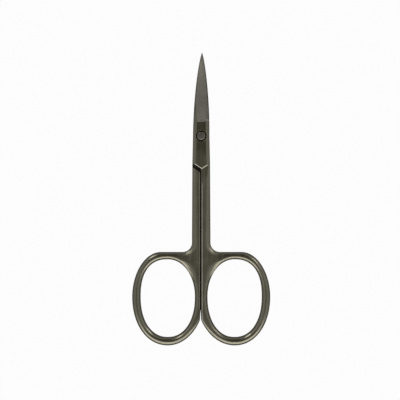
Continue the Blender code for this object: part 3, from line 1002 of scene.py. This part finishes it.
def blade_curve_tree():
    """Raises each point ahead of the pivot by its distance from it.

    Both mating faces are then surfaces of revolution about the rivet, and slide on each other.
    """
    tree, given, out = new_group(
        "blade_curve",
        {
            "Geometry": ("NodeSocketGeometry", None),
            "Curve Start": (NUMBER, BEND_START),
            "Curve Radius": (NUMBER, BEND_RADIUS),
            "Lean Share": (NUMBER, TIP_LEAN / BLADE_REACH),
            "Pivot Level": (NUMBER, PIVOT_Y),
        },
        {"Geometry": "NodeSocketGeometry"},
        "GeometryNodeTree",
    )
    x, y, z = tree.xyz(tree.add("GeometryNodeInputPosition").outputs[0])
    ahead = tree.math("MAXIMUM", y, 0.0)
    leaned = tree.math("ADD", x, tree.math("MULTIPLY", ahead, given["Lean Share"]))
    past = tree.math("SUBTRACT", tree.distance(leaned, ahead), given["Curve Start"])
    is_ahead = tree.math("GREATER_THAN", y, 0.0)
    along = tree.math("MULTIPLY", tree.math("MAXIMUM", past, 0.0), is_ahead)
    squares = [tree.math("POWER", length, 2.0) for length in (given["Curve Radius"], along)]
    left = tree.math("SQRT", tree.math("SUBTRACT", *squares))
    rise = tree.math("SUBTRACT", given["Curve Radius"], left)
    level = tree.math("ADD", y, given["Pivot Level"])
    curved = {"Geometry": given["Geometry"]}
    curved["Position"] = tree.vector(leaned, level, tree.math("ADD", z, rise))
    moved = tree.add("GeometryNodeSetPosition", curved).outputs[0]
    real = tree.add("GeometryNodeRealizeInstances", {"Geometry": moved}).outputs[0]
    forged = tree.add("GeometryNodeMaterialSelection", {"Material": SATIN}).outputs[0]
    finish_faces = {"Geometry": real, "Selection": forged, "Material": SATIN}
    tree.feed(out["Geometry"], tree.add("GeometryNodeSetMaterial", finish_faces).outputs[0])
    return tree.tree


def slice_blade(mesh):
    """Cuts the blade's faces across in short lengths, so that they can follow the curve."""
    bm = bmesh.new()
    bm.from_mesh(mesh)
    bmesh.ops.remove_doubles(bm, verts=bm.verts, dist=MERGE_DISTANCE)
    bmesh.ops.dissolve_degenerate(bm, edges=bm.edges, dist=MERGE_DISTANCE)
    level = BEND_START
    while level < BLADE_REACH:
        parts = bm.verts[:] + bm.edges[:] + bm.faces[:]
        bmesh.ops.bisect_plane(bm, geom=parts, plane_co=(0, level, 0), plane_no=(0, 1, 0))
        level += SLICE_LENGTH
    bmesh.ops.triangulate(bm, faces=bm.faces)
    bm.to_mesh(mesh)
    bm.free()


def finish(obj):
    """Smooth where the metal is rounded, sharp at each ground edge, and true on the flats."""
    obj.data.shade_smooth()
    obj.data.set_sharp_from_angle(angle=SMOOTH_ANGLE)
    weighted = obj.modifiers.new("true_flats", "WEIGHTED_NORMAL")
    weighted.keep_sharp = True
    weighted.mode = "FACE_AREA"
    baked(obj)


BLADE_CURVE = blade_curve_tree()


def forged_half(name, node, body, seat, face, turned_over):
    half = forging_blank(name, face)
    cut(
        half,
        [
            # The notch mill and seat drill leave near-black painted shade, the spine stones darker
            # painted shade.
            mesh_object("notch_mill", notch_mill(face), [PAINTED_BLACK_SHADE]),
            mesh_object("recess_tool", mating_recess(face), [LAPPED]),
            mesh_object("face_wheel", face_grind(), [GROUND]),
            mesh_object("relief_tool", shank_relief(face), [SATIN]),
            mesh_object("bevel_stone", edge_bevel(), [GROUND]),
            mesh_object("outer_spine_stone", spine_stone(mating=False), [PAINTED_DIM_SHADE]),
            mesh_object("mating_spine_stone", spine_stone(mating=True), [PAINTED_DIM_SHADE]),
            mesh_object("hollow_wheel", hollow_grind(), [LAPPED]),
            mesh_object("bore_drill", rivet_bore(), [LAPPED]),
            mesh_object("seat_drill", seat, [PAINTED_BLACK_SHADE]),
        ],
    )
    if turned_over:
        half_turn = Matrix.Rotation(math.pi, 4, "Y")
        half.data.transform(Matrix.Translation((0, 0, THICKNESS)) @ half_turn)
    slice_blade(half.data)
    curve = half.modifiers.new("blade_curve", "NODES")
    curve.node_group = BLADE_CURVE
    baked(half)
    finish(half)
    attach(half, body)
    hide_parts(node)


# Rivet


def turned_rivet_tree():
    """The rivet's profile, rounded at the head's rim and swept once round the pivot."""
    tree, given, out = new_group(
        "turned_rivet",
        {
            "Head Diameter": (NUMBER, HEAD_DIAMETER),
            "Head Thickness": (NUMBER, HEAD_THICKNESS),
            "Head Round": (NUMBER, HEAD_ROUND),
            "Pin Diameter": (NUMBER, RIVET_DIAMETER),
            "Tail Diameter": (NUMBER, TAIL_DIAMETER),
            "Tail Thickness": (NUMBER, TAIL_THICKNESS),
            "Foot Level": (NUMBER, FACE_INSET),
            "Top Level": (NUMBER, THICKNESS - FACE_INSET),
            "Pivot Level": (NUMBER, PIVOT_Y),
            "Turn Steps": ("NodeSocketInt", TURN_STEPS),
        },
        {"Geometry": "NodeSocketGeometry"},
        "GeometryNodeTree",
    )
    widths = (given["Head Diameter"], given["Pin Diameter"], given["Tail Diameter"])
    head, pin, tail = (tree.math("DIVIDE", width, 2.0) for width in widths)
    foot, top = given["Foot Level"], given["Top Level"]
    under_head = tree.math("SUBTRACT", top, given["Head Thickness"])
    tail_top = tree.math("ADD", foot, given["Tail Thickness"])
    corners = [(0.0, top), (head, top), (head, under_head), (pin, under_head)]
    corners += [(pin, tail_top), (tail, tail_top), (tail, foot), (0.0, foot)]

    index = tree.add("GeometryNodeInputIndex").outputs[0]
    chosen = tree.add("GeometryNodeIndexSwitch", data_type="VECTOR")
    while len(chosen.index_switch_items) < len(corners):
        chosen.index_switch_items.new()
    tree.feed(chosen.inputs[0], index)
    for socket, (radius, level) in zip(chosen.inputs[1:], corners):
        out_from_path = tree.math("SUBTRACT", radius, SWEEP_RADIUS)
        tree.feed(socket, tree.vector(out_from_path, tree.math("MULTIPLY", level, -1.0), 0.0))
    points = {"Geometry": tree.add("GeometryNodeMeshLine", {"Count": len(corners)}).outputs[0]}
    points["Position"] = chosen.outputs[0]
    cornered = tree.add("GeometryNodeSetPosition", points).outputs[0]
    profile = tree.add("GeometryNodeMeshToCurve", {"Mesh": cornered}).outputs[0]
    # Corner 1 is the rim of the head, the only one that is rounded
    rim_corner = {0: index, 1: 1.0, 2: 0.5}
    at_rim = tree.add("ShaderNodeMath", rim_corner, operation="COMPARE").outputs[0]
    rounding = {"Curve": profile, "Count": ROUND_STEPS}
    rounding["Radius"] = tree.math("MULTIPLY", at_rim, given["Head Round"])
    rounded = tree.add("GeometryNodeFilletCurve", rounding, mode="POLY").outputs[0]

    path = {"Resolution": given["Turn Steps"], "Radius": SWEEP_RADIUS}
    sweep = {"Curve": tree.add("GeometryNodeCurvePrimitiveCircle", path).outputs[0]}
    sweep["Profile Curve"] = rounded
    merge = {"Geometry": tree.add("GeometryNodeCurveToMesh", sweep).outputs[0]}
    merge["Distance"] = MERGE_DISTANCE
    move = {"Geometry": tree.add("GeometryNodeMergeByDistance", merge).outputs[0]}
    move["Translation"] = tree.vector(0.0, given["Pivot Level"], 0.0)
    moved = tree.add("GeometryNodeTransform", move).outputs[0]
    real = tree.add("GeometryNodeRealizeInstances", {"Geometry": moved}).outputs[0]
    finish_faces = {"Geometry": real, "Material": RIVET}
    tree.feed(out["Geometry"], tree.add("GeometryNodeSetMaterial", finish_faces).outputs[0])
    return tree.tree


def turned_rivet():
    rivet = mesh_object("pivot_rivet_turned", bmesh.new())
    turning = rivet.modifiers.new("turned_rivet", "NODES")
    turning.node_group = turned_rivet_tree()
    baked(rivet)
    finish(rivet)
    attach(rivet, "rear")
    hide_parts("pivot_rivet")


head_seat = rivet_seat(HEAD_DIAMETER + 2 * HEAD_RING_GAP, HEAD_THICKNESS)
tail_seat = rivet_seat(TAIL_DIAMETER + 2 * SEAT_CLEARANCE, TAIL_THICKNESS)
forged_half(
    "front_half_forging",
    "front_half",
    "front",
    head_seat,
    face=CLOSING_SHIFT - HALF_GAP,
    turned_over=True,
)
forged_half(
    "rear_half_forging",
    "rear_half",
    "rear",
    tail_seat,
    face=-CLOSING_SHIFT - HALF_GAP,
    turned_over=False,
)
turned_rivet()


# Table, light and camera

TABLE_DROP = 0.0001
TABLE_SIZE = 8.0
TABLE_GLOW_SHARE = 0.97
TABLE_SHEEN_SHARE = 0.12
TABLE_MATT = (0.25, 0.25, 0.25, 1)
TENT_LIGHT = (0.52, 0.52, 0.52, 1)
ZENITH_LIGHT = (0.18, 0.177, 0.15, 1)
FAR_LIGHT = (0.11, 0.106, 0.08, 1)
OPENING_HALF_WIDTH = 0.36
OPENING_NEAR_SPAN = (-0.34, -0.16)
OPENING_FAR_SPAN = (0.68, 0.95)
OPENING_FOOT = 0.1
DIMMING_SPAN = (-0.05, 0.2)
LAMP_DISTANCE = 0.5
LENS = 300
SENSOR_WIDTH = 36
PHOTO_WIDTH = 400
SCISSORS_IN_PHOTO = 292.4
VIEW_SHIFT = (-1.2, -0.8)
CLIP_SHARE = 100


def white_table():
    """A white table that keeps a faint shadow, and lets a view from below pass."""
    bm = bmesh.new()
    bmesh.ops.create_grid(bm, x_segments=1, y_segments=1, size=TABLE_SIZE / 2)
    bm.transform(Matrix.Translation((0, 0, -TABLE_DROP)))
    material = bpy.data.materials.new("white_table")
    material.use_nodes = True
    tree = Tree(material.node_tree)
    material.node_tree.nodes.remove(material.node_tree.nodes["Principled BSDF"])
    output = material.node_tree.nodes["Material Output"]
    path = tree.add("ShaderNodeLightPath").outputs
    mirrored = tree.math("MAXIMUM", path["Is Glossy Ray"], path["Is Transmission Ray"])
    seen_share = tree.math("MULTIPLY", path["Is Camera Ray"], TABLE_GLOW_SHARE)
    mirrored_share = tree.math("MULTIPLY", mirrored, TABLE_SHEEN_SHARE)
    share = tree.math("ADD", seen_share, mirrored_share)
    matt = tree.add("ShaderNodeBsdfDiffuse", {"Color": TABLE_MATT}).outputs[0]
    glow = tree.add("ShaderNodeEmission", {"Color": (1, 1, 1, 1), "Strength": 1.0}).outputs[0]
    table = tree.add("ShaderNodeMixShader", {0: share, 1: matt, 2: glow}).outputs[0]
    below = tree.add("ShaderNodeNewGeometry").outputs["Backfacing"]
    clear = tree.add("ShaderNodeBsdfTransparent").outputs[0]
    whole = tree.add("ShaderNodeMixShader", {0: below, 1: table, 2: clear}).outputs[0]
    tree.feed(output.inputs["Surface"], whole)
    mesh_object("white_table", bm, [material])


def tent_light():
    """A white light tent with a dim opening from just ahead of the zenith down to the far side."""
    world = bpy.data.worlds.new("light_tent")
    bpy.context.scene.world = world
    world.use_nodes = True
    tree = Tree(world.node_tree)
    x, y, z = tree.xyz(tree.add("ShaderNodeTexCoord").outputs["Generated"])
    aside = tree.math("ABSOLUTE", x)
    opening = tree.span(aside, 0.0, OPENING_HALF_WIDTH, 1.0, 0.0, smooth=True)
    for limit in (
        tree.span(y, *OPENING_NEAR_SPAN, smooth=True),
        tree.span(y, *OPENING_FAR_SPAN, 1.0, 0.0, smooth=True),
        tree.span(z, 0.0, OPENING_FOOT),
    ):
        opening = tree.math("MULTIPLY", opening, limit)
    dim = tree.mix_colour(tree.span(y, *DIMMING_SPAN, smooth=True), ZENITH_LIGHT, FAR_LIGHT)
    background = world.node_tree.nodes["Background"]
    tree.feed(background.inputs["Color"], tree.mix_colour(opening, TENT_LIGHT, dim))


def soft_box(name, off_axis, azimuth, width, height, radiance):
    """A lamp that faces the scissors, so many degrees off the upright and round from -Y."""
    data = bpy.data.lights.new(name, "AREA")
    data.shape = "RECTANGLE"
    data.size = width
    data.size_y = height
    data.energy = radiance * math.pi * width * height
    lamp = bpy.data.objects.new(name, data)
    bpy.context.scene.collection.objects.link(lamp)
    off, round_way = math.radians(off_axis), math.radians(azimuth)
    level_way = Vector((math.sin(round_way), -math.cos(round_way), 0))
    way = level_way * math.sin(off) + Vector((0, 0, math.cos(off)))
    lamp.location = way * LAMP_DISTANCE
    lamp.rotation_mode = "QUATERNION"
    lamp.rotation_quaternion = way.to_track_quat("Z", "Y")
    lamp.visible_camera = False


def photo_camera():
    """Straight above and far off, so that the scissors fill as many pixels as in the photo."""
    data = bpy.data.cameras.new("photo_camera")
    data.lens = LENS
    data.sensor_width = SENSOR_WIDTH
    camera = bpy.data.objects.new("photo_camera", data)
    bpy.context.scene.collection.objects.link(camera)
    pixel = (BLADE_REACH + BOW_REACH) / SCISSORS_IN_PHOTO
    height = PHOTO_WIDTH * pixel * LENS / SENSOR_WIDTH
    camera.location = (*(shift * pixel for shift in VIEW_SHIFT), height + THICKNESS / 2)
    data.clip_start = height / CLIP_SHARE
    data.clip_end = height * CLIP_SHARE
    bpy.context.scene.camera = camera


white_table()
tent_light()
soft_box("front_soft_box", off_axis=57, azimuth=0, width=1.3, height=0.5, radiance=1.75)
soft_box("left_back_soft_box", off_axis=48, azimuth=-145, width=0.1, height=0.4, radiance=2.6)
soft_box("right_back_soft_box", off_axis=50, azimuth=129, width=0.1, height=0.4, radiance=2.0)
photo_camera()
bpy.context.scene.view_settings.view_transform = "Standard"
